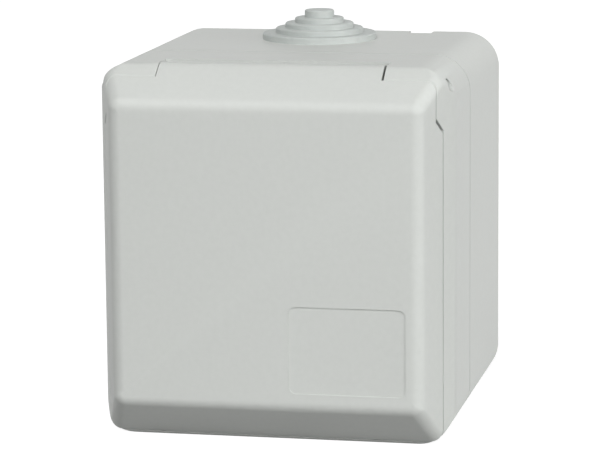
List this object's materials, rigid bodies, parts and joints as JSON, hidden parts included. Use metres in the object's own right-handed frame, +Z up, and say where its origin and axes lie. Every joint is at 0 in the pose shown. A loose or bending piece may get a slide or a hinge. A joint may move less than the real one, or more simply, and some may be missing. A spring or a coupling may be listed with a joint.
{
  "type": "surface-mounted socket outlet",
  "caption": "Splash-proof surface-mounted wall socket: grey box with a sprung hinged lid over an earthed two-pin recess, and a stepped rubber cable entry on top.",
  "frame": {"origin": "middle of the flat rear face, which lies on the wall", "axes": "+X to the right seen from the front, +Y into the wall, +Z up; the lid faces -Y"},
  "size_m": [0.066, 0.0655, 0.0746],
  "materials": {
    "housing_grey": "fine satin grain",
    "insert_grey": "satin",
    "carrier_plastic": "matte",
    "seal_rubber": "matte",
    "grommet_rubber": "matte",
    "contact_brass": "plain",
    "zinc_steel": "zinc plated"
  },
  "bodies": {
    "housing": {"rear_box": "housing_grey", "cover_frame": "housing_grey", "body_seal": "seal_rubber", "cable_grommet": "grommet_rubber", "hinge_pin": "zinc_steel", "hinge_spring": "zinc_steel", "socket_well": "insert_grey", "contact_carrier": "carrier_plastic", "live_contact": "contact_brass", "neutral_contact": "contact_brass", "live_terminal": "contact_brass", "neutral_terminal": "contact_brass", "live_terminal_screw": "zinc_steel", "neutral_terminal_screw": "zinc_steel", "earth_bow": "contact_brass", "earth_terminal": "contact_brass", "earth_terminal_screw": "zinc_steel", "support_frame": "zinc_steel", "centre_screw": "zinc_steel", "cover_screw_left": "zinc_steel", "cover_screw_right": "zinc_steel", "frame_screw_left": "zinc_steel", "frame_screw_right": "zinc_steel", "carrier_screw_left": "zinc_steel", "carrier_screw_right": "zinc_steel"},
    "lid": {"lid": "housing_grey", "lid_seal": "seal_rubber"}
  },
  "joints": [
    {"name": "lid_hinge", "type": "hinge", "parent": "housing", "child": "lid", "pos_m": [0, -0.0553, 0.0312], "axis": [-1, 0, 0], "range_deg": [0, 90], "stiffness_Nm_per_rad": 0.01, "springref_deg": -57.3}
  ]
}
